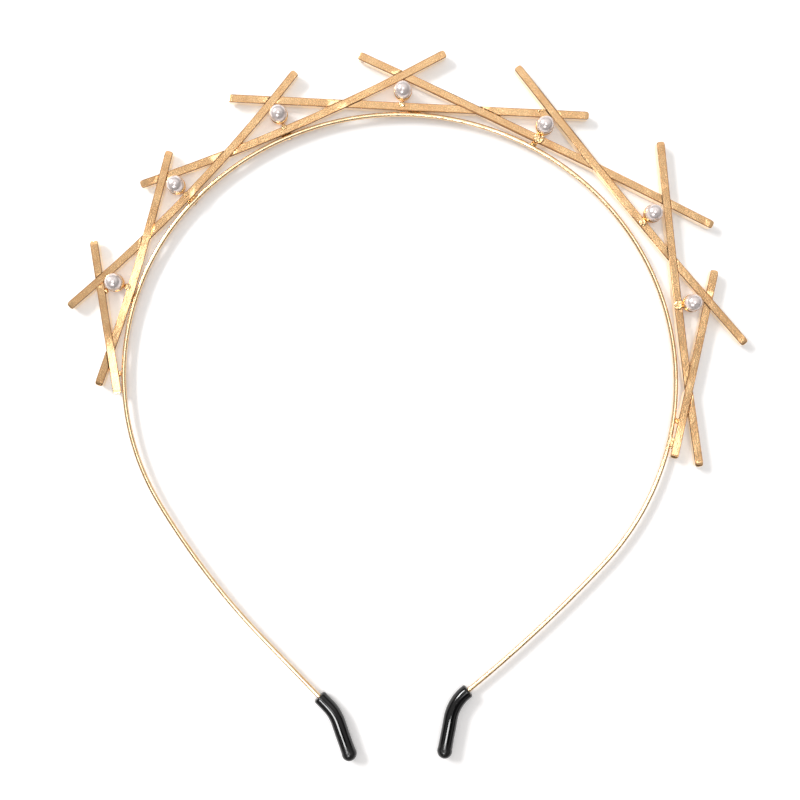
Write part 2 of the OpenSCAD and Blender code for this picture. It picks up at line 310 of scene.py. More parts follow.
@dataclass(frozen=True)
class Nacre(Finish):
    """Imitation pearl: a bead dipped in pearl essence, layer on layer.

    The eye gets a milky lilac white with a rosy cast in patches, under a clear, glossy coat.
    """

    tone: str = "#efe8e8"
    rose_tone: str = "#e6d5d0"
    cloud_mm: float = 2.2
    metallic: float = 0.5
    ior: float = 1.68
    roughness: float = 0.28
    # Share by which the roughness varies
    uneven_share: float = 0.2
    coat_ior: float = 1.53
    coat_roughness: float = 0.08

    def shader(self, tree: bpy.types.NodeTree) -> bpy.types.Node:
        """Cloud the pearl's colour under its clear coat.

        Args:
            tree: The material's node tree.

        Returns:
            The shader node.
        """
        place = add(tree, "ShaderNodeTexCoord").outputs["Object"]
        clouds = add(tree, "ShaderNodeTexNoise", {
            "Vector": place, "Scale": 1 / (self.cloud_mm * MM), "Detail": 3.0,
        }).outputs["Fac"]
        colour = add(tree, "ShaderNodeMix", {
            "Factor": clouds, 6: linear(self.tone), 7: linear(self.rose_tone),
        }, data_type="RGBA").outputs[2]
        roughness = add(tree, "ShaderNodeMapRange", {
            "Value": clouds, "From Min": NOISE_LOW, "From Max": NOISE_HIGH,
            "To Min": self.roughness * (1 - self.uneven_share),
            "To Max": self.roughness * (1 + self.uneven_share),
        }).outputs[0]
        return add(tree, "ShaderNodeBsdfPrincipled", {
            "Base Color": colour, "Metallic": self.metallic, "Roughness": roughness, "IOR": self.ior,
            "Coat Weight": 1.0, "Coat Roughness": self.coat_roughness, "Coat IOR": self.coat_ior,
        })


@dataclass(frozen=True)
class DippedRubber(Finish):
    """Black vinyl rubber, dip-moulded.

    The eye gets a deep gloss with a faint waviness and light scuffs, and a duller end, where the
    last drop dried.
    """

    tone: str = "#050506"
    worn_tone: str = "#0a0a0b"
    ior: float = 1.53
    roughness: float = 0.07
    dull_roughness: float = 0.28
    # The roughness of a scuff, as a share of the rest
    scuff_share: float = 1.7
    scuff_mm: float = 0.75
    wave_mm: float = 3.0
    wave_depth_mm: float = 0.012

    def shader(self, tree: bpy.types.NodeTree) -> bpy.types.Node:
        """Make the rubber glossy with slow waves, scuffs and a dull end.

        Args:
            tree: The material's node tree.

        Returns:
            The shader node.
        """
        place = add(tree, "ShaderNodeTexCoord").outputs["Object"]
        waves = add(tree, "ShaderNodeTexNoise", {
            "Vector": place, "Scale": 1 / (self.wave_mm * MM), "Detail": 1.0,
        }).outputs["Fac"]
        scuffs = add(tree, "ShaderNodeTexNoise", {
            "Vector": place, "Scale": 1 / (self.scuff_mm * MM), "Detail": 4.0,
        }).outputs["Fac"]
        colour = add(tree, "ShaderNodeMix", {
            "Factor": scuffs, 6: linear(self.tone), 7: linear(self.worn_tone),
        }, data_type="RGBA").outputs[2]
        gloss = add(tree, "ShaderNodeMapRange", {
            "Value": scuffs, "From Min": NOISE_LOW, "From Max": NOISE_HIGH,
            "To Min": self.roughness, "To Max": self.roughness * self.scuff_share,
        }).outputs[0]
        dull = add(tree, "ShaderNodeAttribute", attribute_name=Grain.DULL.value).outputs["Fac"]
        roughness = add(tree, "ShaderNodeMix", {"Factor": dull, 2: gloss, 3: self.dull_roughness}).outputs[0]
        relief = add(tree, "ShaderNodeBump", {
            "Height": waves, "Distance": self.wave_depth_mm * MM, "Strength": 1.0,
        }).outputs[0]
        return add(tree, "ShaderNodeBsdfPrincipled", {
            "Base Color": colour, "Roughness": roughness, "IOR": self.ior, "Normal": relief,
        })


@dataclass(frozen=True)
class WhitePaper(Finish):
    """Matt white table paper with a very faint mottle."""

    tone: str = "#fbfafa"
    mottle_tone: str = "#f8f6f6"
    mottle_mm: float = 40.0
    # Light that is added where the paper is looked at, so that it comes out white
    lift: float = 0.2

    def shader(self, tree: bpy.types.NodeTree) -> bpy.types.Node:
        """Make the paper diffuse, and lift it a little for the camera and for what mirrors it.

        Args:
            tree: The material's node tree.

        Returns:
            The shader node.
        """
        place = add(tree, "ShaderNodeTexCoord").outputs["Object"]
        mottle = add(tree, "ShaderNodeTexNoise", {
            "Vector": place, "Scale": 1 / (self.mottle_mm * MM),
        }).outputs["Fac"]
        colour = add(tree, "ShaderNodeMix", {
            "Factor": mottle, 6: linear(self.tone), 7: linear(self.mottle_tone),
        }, data_type="RGBA").outputs[2]
        paper = add(tree, "ShaderNodeBsdfDiffuse", {"Color": colour}).outputs[0]
        rays = add(tree, "ShaderNodeLightPath").outputs
        mirrored = add(tree, "ShaderNodeMath", {
            0: rays["Is Camera Ray"], 1: rays["Is Glossy Ray"],
        }, operation="MAXIMUM").outputs[0]
        seen = add(tree, "ShaderNodeMath", {
            0: mirrored, 1: rays["Is Transmission Ray"],
        }, operation="MAXIMUM").outputs[0]
        lift = add(tree, "ShaderNodeMath", {0: seen, 1: self.lift}, operation="MULTIPLY").outputs[0]
        glow = add(tree, "ShaderNodeEmission", {"Strength": lift}).outputs[0]
        return add(tree, "ShaderNodeAddShader", {0: paper, 1: glow})


BAR_GOLD = SatinGold("gold_plate_brushed")
WIRE_GOLD = BrightGold(
    "gold_plate_drawn_wire", tone="#f8dcb6", deep_tone="#eac699", roughness=0.2, ripple_depth_mm=0.003,
)
CUP_GOLD = BrightGold(
    "gold_plate_pressed_cup", tone="#f3c383", deep_tone="#e3a45c", roughness=0.16, ripple_mm=1.0,
)
SOLDER_GOLD = BrightGold(
    "gold_plate_solder", tone="#ffe0b0", deep_tone="#f3c487", roughness=0.2, ripple_mm=0.5,
)
PEG_GOLD = BrightGold("gold_plate_peg", roughness=0.3)
PEARL = Nacre("imitation_pearl")
CAP_RUBBER = DippedRubber("dipped_rubber")
TABLE = WhitePaper("white_table_paper")


def piece(name: str, bm: bmesh.types.BMesh, finish: Finish, nodes: Iterable[str],
          sharp_deg: float = 180.0) -> bpy.types.Object:
    """Make a scene piece that stands for CAD nodes and rides on the crown's one body.

    Args:
        name: The piece's name.
        bm: Its mesh, in metres in the part's frame; it is freed.
        finish: The finish that dresses it.
        nodes: The CAD nodes that the piece replaces.
        sharp_deg: Edges that turn by more than this stay sharp.

    Returns:
        The new object.
    """
    bmesh.ops.recalc_face_normals(bm, faces=bm.faces)
    mesh = bpy.data.meshes.new(name)
    bm.to_mesh(mesh)
    bm.free()
    mesh.shade_smooth()
    if sharp_deg < 180:
        mesh.set_sharp_from_angle(angle=math.radians(sharp_deg))
    mesh.materials.append(finish.material())
    made = bpy.data.objects.new(name, mesh)
    bpy.context.scene.collection.objects.link(made)
    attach(made, BODY)
    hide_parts(*nodes)
    LOG.info("%s: %d faces for %s", name, len(mesh.polygons), ", ".join(nodes))
    return made


def middle(node: str) -> Vector:
    """Return the centre of a CAD node's box."""
    low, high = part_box(node)
    return (low + high) / 2


@dataclass(frozen=True)
class Bend:
    """One stretch of the wire.

    It is an arc of a radius and a turn in degrees, or a straight run of a length in mm if the
    radius is 0.
    """

    radius_mm: float
    amount: float

    def length_mm(self) -> float:
        """Return how far it is along the stretch."""
        return abs(self.amount) if self.radius_mm == 0 else self.radius_mm * math.radians(abs(self.amount))


@dataclass(frozen=True)
class Station:
    """A point on the wire's centreline, in mm, and the way that it runs there, in degrees."""

    x: float
    y: float
    heading: float

    def ahead(self, bend: Bend, share: float = 1.0) -> "Station":
        """Walk a share of a bend.

        Args:
            bend: The stretch to walk; a positive turn is clockwise.
            share: How much of it.

        Returns:
            The station that is reached.
        """
        far = bend.amount * share
        start = math.radians(self.heading)
        if bend.radius_mm == 0:
            return Station(self.x + far * math.cos(start), self.y + far * math.sin(start), self.heading)
        side = math.copysign(bend.radius_mm, bend.amount)
        end = math.radians(self.heading - far)
        return Station(
            self.x + side * (math.sin(start) - math.sin(end)),
            self.y + side * (math.cos(end) - math.cos(start)),
            self.heading - far,
        )

    def mirrored(self) -> "Station":
        """Return the same station on the other half of the wire, walked the other way."""
        return Station(-self.x, self.y, -self.heading)


# Stations with the radius in mm of a circle around each
Rings = list[tuple[Station, float]]


def sweep(rings: Rings, sides: int, wobble: Callable[[Vector], float] | None = None) -> bmesh.types.BMesh:
    """Sweep a circle along stations.

    Args:
        rings: Each station with the circle's radius there.
        sides: Points of each circle.
        wobble: Gives what is added to the radius at a point, in mm.

    Returns:
        A closed mesh in metres.
    """
    bm = bmesh.new()
    rows: list[list[bmesh.types.BMVert]] = []
    for station, radius in rings:
        turn = math.radians(station.heading)
        aside = Vector((-math.sin(turn), math.cos(turn), 0))
        centre = Vector((station.x, station.y, 0))
        row = []
        for k in range(sides):
            a = 2 * math.pi * k / sides
            way = aside * math.cos(a) + Vector((0, 0, math.sin(a)))
            point = centre + way * radius
            if wobble:
                point += way * wobble(point)
            row.append(bm.verts.new(point * MM))
        rows.append(row)
    for back, fore in zip(rows, rows[1:]):
        for k in range(sides):
            bm.faces.new((back[k], fore[k], fore[(k + 1) % sides], back[(k + 1) % sides]))
    bm.faces.new(rows[0])
    bm.faces.new(rows[-1][::-1])
    return bm


@dataclass
class Band:
    """The bent wire, and the tips that the caps go over."""

    wire_d_mm: float = 1.1
    top_y_mm: float = 64.5
    # Each half of the wire from the top to its tip, and the number of the bend that starts the tip
    right: tuple[Bend, ...] = (
        Bend(65.9, 40.5), Bend(61.7, 92.5), Bend(320, 7.5), Bend(0, 2.7), Bend(10, -40), Bend(0, 6.8),
    )
    left: tuple[Bend, ...] = (
        Bend(67.4, 44), Bend(58.3, 77), Bend(175, 13), Bend(0, 22.2), Bend(10, -25), Bend(0, 6.8),
    )
    tip_bend: int = 4
    step_mm: float = 0.8
    sides: int = 20

    def walk(self, bends: Sequence[Bend], start: Station, step_mm: float) -> list[Station]:
        """Walk along bends in short steps.

        Args:
            bends: The stretches, in order.
            start: Where the walk starts.
            step_mm: The longest step.

        Returns:
            The stations, with the start as the first.
        """
        found = [start]
        for bend in bends:
            base = found[-1]
            count = math.ceil(bend.length_mm() / step_mm)
            found += [base.ahead(bend, k / count) for k in range(1, count + 1)]
        return found

    def top(self) -> Station:
        """Return the station at the top of the band."""
        return Station(0, self.top_y_mm, 0)

    def tip_start(self, bends: Sequence[Bend]) -> Station:
        """Return the station where a tip's bend starts."""
        return self.walk(bends[:self.tip_bend], self.top(), self.step_mm)[-1]

    def build(self) -> None:
        """Make the wire as one smooth tube from tip to tip."""
        right = self.walk(self.right, self.top(), self.step_mm)
        left = [s.mirrored() for s in self.walk(self.left, self.top(), self.step_mm)]
        stations = left[:0:-1] + right
        bm = sweep([(s, self.wire_d_mm / 2) for s in stations], self.sides)
        piece("wire", bm, WIRE_GOLD, ["headband_wire"], sharp_deg=60)


@dataclass
class EndCaps:
    """The dipped rubber caps: a bent sleeve, a mouth with a rounded lip, and a ball."""

    band: Band
    sleeve_d_mm: float = 3.3
    neck_d_mm: float = 3.35
    ball_d_mm: float = 3.5
    # Length of each sleeve before the tip's bend, and from the wire's tip to the ball's middle
    right_lead_mm: float = 0.95
    left_lead_mm: float = 3.2
    nose_mm: float = 1.0
    lip_mm: float = 0.5
    bore_r_mm: float = 0.58
    bore_depth_mm: float = 1.2
    # How far before the neck the sleeve starts to swell, and how near to it its last ring may lie
    swell_mm: float = 4.5
    neck_gap_mm: float = 0.15
    # The slow unevenness of the dip
    lump_mm: float = 3.2
    lump_height_mm: float = 0.045
    # How far from the ball's tip the dull end reaches and over what it fades, in ball diameters
    dull_reach: float = 1.25
    dull_fade: float = 0.3
    sides: int = 40
    step_mm: float = 0.3
    lip_steps: int = 6
    ball_steps: int = 16

    def lip(self, mouth: Station) -> Rings:
        """Round the lip from the mouth's flat out to the sleeve.

        Args:
            mouth: Where the cap starts.

        Returns:
            The lip's rings.
        """
        rings = []
        for k in range(self.lip_steps + 1):
            a = math.pi / 2 * k / self.lip_steps
            onward = self.lip_mm * (1 - math.cos(a))
            inset = self.lip_mm * (1 - math.sin(a))
            rings.append((mouth.ahead(Bend(0, onward)), self.sleeve_d_mm / 2 - inset))
        return rings

    def neck_turn(self) -> float:
        """Return the angle on the ball between its tip and the neck, in radians."""
        return math.pi - math.asin(self.neck_d_mm / self.ball_d_mm)

    def sleeve(self, run: Sequence[Station]) -> Rings:
        """Lay the sleeve along a run, swelling toward the neck.

        Args:
            run: Stations from the lip to the wire's tip.

        Returns:
            The sleeve's rings up to the neck.
        """
        sleeve_r = self.sleeve_d_mm / 2
        neck_back = self.ball_d_mm / 2 * -math.cos(self.neck_turn())
        length = len(run) * self.step_mm
        rings = []
        for k, station in enumerate(run):
            to_neck = max(0.0, length - k * self.step_mm + self.nose_mm - neck_back)
            swell = max(0.0, 1 - to_neck / self.swell_mm)
            if to_neck > self.neck_gap_mm:
                rings.append((station, sleeve_r + (self.neck_d_mm / 2 - sleeve_r) * swell * swell))
        return rings

    def ball(self, centre: Station) -> Rings:
        """Round the ball from the neck to its tip.

        Args:
            centre: The ball's middle.

        Returns:
            The ball's rings.
        """
        ball_r = self.ball_d_mm / 2
        turns = [self.neck_turn() * (1 - k / self.ball_steps) for k in range(self.ball_steps)]
        return [(centre.ahead(Bend(0, ball_r * math.cos(a))), ball_r * math.sin(a)) for a in turns]

    def rings(self, bends: Sequence[Bend], lead_mm: float) -> Rings:
        """Give the cap's rings from the bottom of its mouth, round the lip and out to the ball.

        Args:
            bends: The half of the wire that the cap goes over.
            lead_mm: Length of the sleeve before the tip's bend.

        Returns:
            All rings of the cap.
        """
        mouth = self.band.tip_start(bends).ahead(Bend(0, -lead_mm))
        bore = [(mouth.ahead(Bend(0, self.bore_depth_mm)), self.bore_r_mm), (mouth, self.bore_r_mm)]
        lip = self.lip(mouth)
        way = (Bend(0, lead_mm - self.lip_mm), *bends[self.band.tip_bend:])
        run = self.band.walk(way, lip[-1][0], self.step_mm)[1:]
        return bore + lip + self.sleeve(run) + self.ball(run[-1].ahead(Bend(0, self.nose_mm)))

    def lump(self, point: Vector) -> float:
        """Return the dip's unevenness; the cap's underside has none, so that it lies flat.

        Args:
            point: A point on the cap, in mm.

        Returns:
            What the dip adds there, in mm.
        """
        if point.z < -self.sleeve_d_mm / 4:
            return 0.0
        return self.lump_height_mm * noise.noise(point / self.lump_mm)

    def build(self) -> None:
        """Make both caps."""
        right = self.rings(self.band.right, self.right_lead_mm)
        left = [(s.mirrored(), r) for s, r in self.rings(self.band.left, self.left_lead_mm)]
        for name, rings in (("left", left), ("right", right)):
            bm = sweep(rings, self.sides, self.lump)
            dull = bm.verts.layers.float.new(Grain.DULL.value)
            tip = rings[-1][0]
            for vert in bm.verts:
                away = math.dist(vert.co[:2], (tip.x * MM, tip.y * MM)) / (self.ball_d_mm * MM)
                vert[dull] = min(1.0, max(0.0, (self.dull_reach - away) / self.dull_fade))
            piece(f"cap_{name}", bm, CAP_RUBBER, [f"end_cap_{name}"], sharp_deg=70)


@dataclass(frozen=True)
class BarAxis:
    """How a bar lies, seen from above, in metres.

    The bow is a curve of degree 2: how far outward the bar lies at each place along it.
    """

    centre: np.ndarray
    along: np.ndarray
    outward: np.ndarray
    bow: np.ndarray
    low: float
    high: float

    @classmethod
    def of(cls, bm: bmesh.types.BMesh) -> "BarAxis":
        """Find the axis of a bar's mesh.

        Args:
            bm: The mesh.

        Returns:
            The axis, with outward as the way off the crown's middle.
        """
        points = np.array([v.co[:2] for v in bm.verts])
        centre = points.mean(axis=0)
        along = np.linalg.svd(points - centre)[2][0]
        if along[0] * centre[1] - along[1] * centre[0] < 0:
            along = -along
        outward = np.array([-along[1], along[0]])
        places = (points - centre) @ along
        bow = np.polyfit(places, (points - centre) @ outward, 2)
        return cls(centre, along, outward, bow, places.min(), places.max())

    def place(self, point: Vector) -> tuple[float, float]:
        """Find where on the bar a point is.

        Args:
            point: The point.

        Returns:
            How far along the bar it is from the middle, and how far outward from the bowed middle line.
        """
        flat = np.array(point[:2]) - self.centre
        along = float(flat @ self.along)
        return along, float(flat @ self.outward - np.polyval(self.bow, along))


@dataclass
class Bar:
    """One bar of the nest, and how its maker's hand left it.

    The twist is in degrees about the bar's length at even places from its back end to its fore end.
    A positive twist leans the face away from the wearer's head.
    """

    node: str
    twist: tuple[float, ...] = (0.0,)
    width_mm: float = 1.9
    # How square the filed ends are: 2 is a half circle
    squareness: float = 3.2
    # How far the top falls off toward the very end
    end_drop_mm: float = 0.2
    # The unevenness that filing by hand left on the faces
    ripple_deg: float = 1.6
    ripple_mm: float = 9.0
    slices: int = 36
    # Faces that turn by less than the flat angle are one; edges over the sharp angle are softened
    flat_deg: float = 1.0
    sharp_deg: float = 28.0
    edge_mm: float = 0.03
    edge_steps: int = 2
    # Each bar has a stretch of grain of its own, this many times as far off as the bar lies
    grain_spread: float = 10.0
    # The laps' bevelled shoulders: the least and most that they face up, the least that they face
    # along the bar, and the share of their gap that the plating closed
    shoulder_up: tuple[float, float] = (0.3, 0.5)
    shoulder_along: float = 0.25
    shoulder_closed: float = 0.9

    def build(self) -> None:
        """Dress the bar's solid: close its laps, cut it into slices, shape these and soften its edges."""
        bm = bmesh.new()
        bm.from_mesh(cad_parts[self.node].data)
        bmesh.ops.remove_doubles(bm, verts=bm.verts, dist=WELD)
        flat = math.radians(self.flat_deg)
        bmesh.ops.dissolve_limit(bm, angle_limit=flat, verts=bm.verts, edges=bm.edges)
        axis = BarAxis.of(bm)
        self.close_laps(bm, Vector((*axis.along, 0)))
        self.cut_across(bm, axis)
        self.shape(bm, axis)
        name = self.node.replace("bar_", "stick_")
        made = piece(name, bm, BAR_GOLD, [self.node], sharp_deg=self.sharp_deg)
        softened = made.modifiers.new("soft_edges", "BEVEL")
        softened.width = self.edge_mm * MM
        softened.segments = self.edge_steps
        softened.limit_method = "ANGLE"
        softened.angle_limit = math.radians(self.sharp_deg)
        softened.use_clamp_overlap = True
        softened.harden_normals = True

    def close_laps(self, bm: bmesh.types.BMesh, along: Vector) -> None:
        """Close the bevelled shoulders of the laps up to the bar on top, as the plating did.

        Args:
            bm: The bar's mesh.
            along: The way that the bar runs.
        """
        bm.normal_update()
        least, most = self.shoulder_up
        moves: dict[bmesh.types.BMVert, Vector] = {}
        for face in bm.faces:
            if least < face.normal.z < most:
                into = Vector((face.normal.x, face.normal.y, 0))
                slope = face.normal.z / into.length
                lean = into.normalized().dot(along)
                for vert in face.verts:
                    if vert.co.z > 0 and abs(lean) > self.shoulder_along:
                        moves[vert] = along * (self.shoulder_closed * slope * vert.co.z / lean)
        for vert, move in moves.items():
            vert.co += move

    def cut_across(self, bm: bmesh.types.BMesh, axis: BarAxis) -> None:
        """Cut the mesh into slices all along the bar, with closer cuts at its ends.

        Args:
            bm: The bar's mesh.
            axis: How the bar lies.
        """
        end_r = self.width_mm / 2 * MM
        ends = [axis.low + end_r / 2, axis.low + end_r, axis.high - end_r, axis.high - end_r / 2]
        for place in (*np.linspace(axis.low, axis.high, self.slices + 2)[1:-1], *ends):
            at = axis.centre + place * axis.along
            bmesh.ops.bisect_plane(
                bm, geom=bm.verts[:] + bm.edges[:] + bm.faces[:],
                plane_co=(*at, 0), plane_no=(*axis.along, 0),
            )

    def shape(self, bm: bmesh.types.BMesh, axis: BarAxis) -> None:
        """Give the mesh its grain, file its ends and twist its slices.

        Args:
            bm: The bar's mesh.
            axis: How the bar lies.
        """
        grain = bm.verts.layers.float_vector.new(Grain.ALONG_BAR.value)
        grain_start = self.grain_spread * middle(self.node).x
        end_r = self.width_mm / 2 * MM
        for vert in bm.verts:
            place, across = axis.place(vert.co)
            vert[grain] = (place + grain_start, across, vert.co.z)
            beyond = max(place - axis.high, axis.low - place) + end_r
            if beyond > 0:
                reach = math.hypot(beyond, across)
                square = (beyond ** self.squareness + abs(across) ** self.squareness) ** (1 / self.squareness)
                fuller = reach / square - 1
                push = axis.along * math.copysign(beyond * fuller, place) + axis.outward * across * fuller
                drop = self.end_drop_mm * MM * (beyond / end_r) ** 2 if vert.co.z > 0 else 0.0
                vert.co += Vector((*push, -drop))
            lean = math.radians(self.twist_at(axis, place))
            shift = axis.outward * lean * vert.co.z
            vert.co += Vector((*shift, -lean * across))

    def twist_at(self, axis: BarAxis, place: float) -> float:
        """Find how far the bar is twisted.

        Args:
            axis: How the bar lies.
            place: A place along it.

        Returns:
            The twist with its small unevenness, in degrees.
        """
        share = (place - axis.low) / (axis.high - axis.low)
        twist = np.interp(share * (len(self.twist) - 1), range(len(self.twist)), self.twist)
        uneven = noise.noise(Vector((place / (self.ripple_mm * MM), axis.centre[0] / MM, 0)))
        return twist + self.ripple_deg * uneven


@dataclass
class BarNest:
    """The nest of crossed bars, clockwise from the lower left."""

    bars: tuple[Bar, ...] = (
        Bar("bar_left_low", (-9, -9, -6, 1, 1, 0, 0, 0)),
        Bar("bar_left_side", (1.5, 0, -6, -6, -6, -1, 1.5, 1.5)),
        Bar("bar_left_shoulder", (0, 0, -1, 0, -1, 0)),
        Bar("bar_left_top", (0, -1, -1, -1, -1.5, 0, 0)),
        Bar("bar_center"),
        Bar("bar_right_top", (0, 0, 1, 1.5, 0.8)),
        Bar("bar_right_shoulder", (0, 0, 0.5, 1.5, 1, 0.5, 0)),
        Bar("bar_right_side", (1.5, 1.5, 2, 0.5, 0.5)),
        Bar("bar_right_low", (0, 0.5, 1.5, 0.8, -3)),
    )

    def build(self) -> None:
        """Dress every bar."""
        for bar in self.bars:
            bar.build()


@dataclass
class PearlSettings:
    """The pearls, the pressed cups that they sit in and the pegs that hold them."""

    count: int = 7
    pearl_d_mm: float = 4.1
    # How far the pearls are from round, and how far apart their high spots lie
    uneven_mm: float = 0.02
    uneven_gap_mm: float = 1.5
    pearl_fineness: int = 5
    # The cup's foot, its rolled lip and the film of glue under the pearl
    foot_d_mm: float = 2.8
    lip_mm: float = 0.12
    film_mm: float = 0.03
    turned_steps: int = 56
    wall_steps: int = 14
    lip_steps: int = 4
    hollow_steps: int = 6

    def pearl_z(self, k: int) -> float:
        """Return the height of the middle of pearl k."""
        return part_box(f"pearl_{k}")[1].z - self.pearl_d_mm / 2 * MM

    def pearl(self, k: int) -> None:
        """Make a pearl that is not quite round.

        Args:
            k: Its number.
        """
        centre = middle(f"pearl_{k}")
        centre.z = self.pearl_z(k)
        bm = bmesh.new()
        bmesh.ops.create_icosphere(bm, subdivisions=self.pearl_fineness, radius=self.pearl_d_mm / 2 * MM)
        for vert in bm.verts:
            spot = noise.noise(vert.co / (self.uneven_gap_mm * MM) + centre / MM)
            swell = self.uneven_mm * MM * (spot - 1)
            vert.co += vert.co.normalized() * swell + centre
        piece(f"pearl_bead_{k}", bm, PEARL, [f"pearl_{k}"])

    def cup_profile(self, k: int) -> list[tuple[float, float]]:
        """Draw a cup's section: a flat foot, a flared wall, a rolled lip and the pearl's hollow.

        Args:
            k: The cup's number.

        Returns:
            Radius and height of each point, in metres, from the foot's middle to the hollow's.
        """
        low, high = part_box(f"pearl_cup_{k}")
        height = high.z - low.z
        rim_r = (high.x - low.x) / 2
        foot_r = self.foot_d_mm / 2 * MM
        flare = rim_r - foot_r
        side_r = (flare ** 2 + height ** 2) / (2 * flare)
        lip = self.lip_mm * MM
        profile = [(0.0, low.z), (foot_r, low.z)]
        for n in range(1, self.wall_steps + 1):
            z = low.z + (height - lip) * n / self.wall_steps
            profile.append((rim_r - side_r + math.sqrt(side_r ** 2 - (high.z - z) ** 2), z))
        hollow_r = (self.pearl_d_mm / 2 + self.film_mm) * MM
        hollow_z = self.pearl_z(k)
        inner = math.sqrt(max(0.0, hollow_r ** 2 - (hollow_z - high.z) ** 2))
        edge = profile[-1][0]
        for n in range(1, self.lip_steps + 1):
            a = math.pi / 2 * n / self.lip_steps
            profile.append((edge - (edge - inner) * (1 - math.cos(a)), high.z - lip + lip * math.sin(a)))
        for n in range(1, self.hollow_steps + 1):
            a = math.asin(inner / hollow_r) * (1 - n / self.hollow_steps)
            profile.append((hollow_r * math.sin(a), hollow_z - hollow_r * math.cos(a)))
        return profile

    def cup(self, k: int) -> None:
        """Turn a cup from its section.

        Args:
            k: Its number.
        """
        centre = middle(f"pearl_cup_{k}")
        bm = bmesh.new()
        verts = [bm.verts.new((centre.x + r, centre.y, z)) for r, z in self.cup_profile(k)]
        edges = [bm.edges.new(pair) for pair in zip(verts, verts[1:])]
        bmesh.ops.spin(
            bm, geom=verts + edges, cent=(centre.x, centre.y, 0), axis=(0, 0, 1),
            angle=2 * math.pi, steps=self.turned_steps,
        )
        bmesh.ops.remove_doubles(bm, verts=bm.verts, dist=2 * WELD)
        piece(f"cup_{k}", bm, CUP_GOLD, [f"pearl_cup_{k}"], sharp_deg=50)

    def build(self) -> None:
        """Make each pearl and cup, and dress the pegs."""
        for k in range(1, self.count + 1):
            self.pearl(k)
            self.cup(k)
        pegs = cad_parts["pearl_pegs"]
        pegs.data.materials.clear()
        pegs.data.materials.append(PEG_GOLD.material())
        LOG.info("pearl_pegs: dressed as they are")


def islands(node: str) -> list[tuple[Vector, Vector]]:
    """Find the separate solids of a CAD node.

    Args:
        node: The node's name.

    Returns:
        The lowest and highest corner of each solid, by the angle at which it lies on the crown.
    """
    bm = bmesh.new()
    bm.from_mesh(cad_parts[node].data)
    bmesh.ops.remove_doubles(bm, verts=bm.verts, dist=WELD)
    left = set(bm.verts)
    boxes = []
    while left:
        reached = [left.pop()]
        solid = []
        while reached:
            vert = reached.pop()
            solid.append(vert.co.copy())
            for edge in vert.link_edges:
                other = edge.other_vert(vert)
                if other in left:
                    left.remove(other)
                    reached.append(other)
        boxes.append((Vector(map(min, zip(*solid))), Vector(map(max, zip(*solid)))))
    bm.free()
    return sorted(boxes, key=lambda box: math.atan2(box[0].y, box[0].x))


@dataclass
class SolderJoints:
    """The lumps and runs of solder, which the plating covers."""

    # How far apart the solder's lumps lie and how far they stand out
    lump_mm: float = 0.55
    rough_mm: float = 0.16
    # Layers of the roughness, how much finer each is than the one before, and how fast they weaken
    layers: int = 3
    finer: float = 2.0
    weaken: float = 1.0
    fineness: int = 4
    # How far the solder ran at each cup, from the right side over the top to the left side
    spread: tuple[float, ...] = (1.5, 1.3, 1.6, 0.9, 0.8, 0.8, 1.0)
    # Lumps left in the corners beside two of the cups: x, y, z and half width in mm
    corners: tuple[tuple[float, float, float, float], ...] = (
        (-70.5, 24.1, 0.2, 0.7), (-68.8, 23.2, 0.2, 0.7), (32.3, 65.0, 0.75, 0.4), (33.3, 65.2, 0.75, 0.35),
    )

    def blob(self, bm: bmesh.types.BMesh, centre: Vector, half: Vector) -> None:
        """Add one uneven blob.

        Args:
            bm: The mesh that it is added to.
            centre: Its middle.
            half: Half of its size each way.
        """
        made = bmesh.ops.create_icosphere(bm, subdivisions=self.fineness, radius=1.0)
        for vert in made["verts"]:
            way = vert.co.normalized()
            point = Vector(w * h for w, h in zip(way, half))
            spot = (centre + point) / (self.lump_mm * MM)
            rough = noise.fractal(spot, self.weaken, self.finer, self.layers)
            vert.co = centre + point + way * rough * self.rough_mm * MM

    def build(self) -> None:
        """Make the solder at the cups and at the wire."""
        at_cups = bmesh.new()
        for (low, high), spread in zip(islands("cup_solder"), self.spread, strict=True):
            half = (high - low) / 2
            self.blob(at_cups, (low + high) / 2, Vector((half.x * spread, half.y * spread, half.z)))
        for x, y, z, half_mm in self.corners:
            self.blob(at_cups, Vector((x, y, z)) * MM, Vector((half_mm, half_mm, half_mm)) * MM)
        piece("solder_cups", at_cups, SOLDER_GOLD, ["cup_solder"])
        at_band = bmesh.new()
        for low, high in islands("band_solder"):
            self.blob(at_band, (low + high) / 2, (high - low) / 2)
        piece("solder_band", at_band, SOLDER_GOLD, ["band_solder"])


@dataclass(frozen=True)
class Lamp:
    """A soft panel that shines straight down: its edges and height in metres, and its power in watts.

    One that lights no floor only shows as a line in what is glossy.
    """

    name: str
    x: tuple[float, float]
    y: tuple[float, float]
    z: float
    power: float
    lights_floor: bool = True

    def hang(self) -> None:
        """Put the panel in the scene."""
        data = bpy.data.lights.new(self.name, "AREA")
        data.shape = "RECTANGLE"
        data.size = self.x[1] - self.x[0]
        data.size_y = self.y[1] - self.y[0]
        data.energy = self.power
        lamp = bpy.data.objects.new(self.name, data)
        lamp.location = (sum(self.x) / 2, sum(self.y) / 2, self.z)
        lamp.visible_camera = False
        lamp.visible_diffuse = self.lights_floor
        bpy.context.scene.collection.objects.link(lamp)


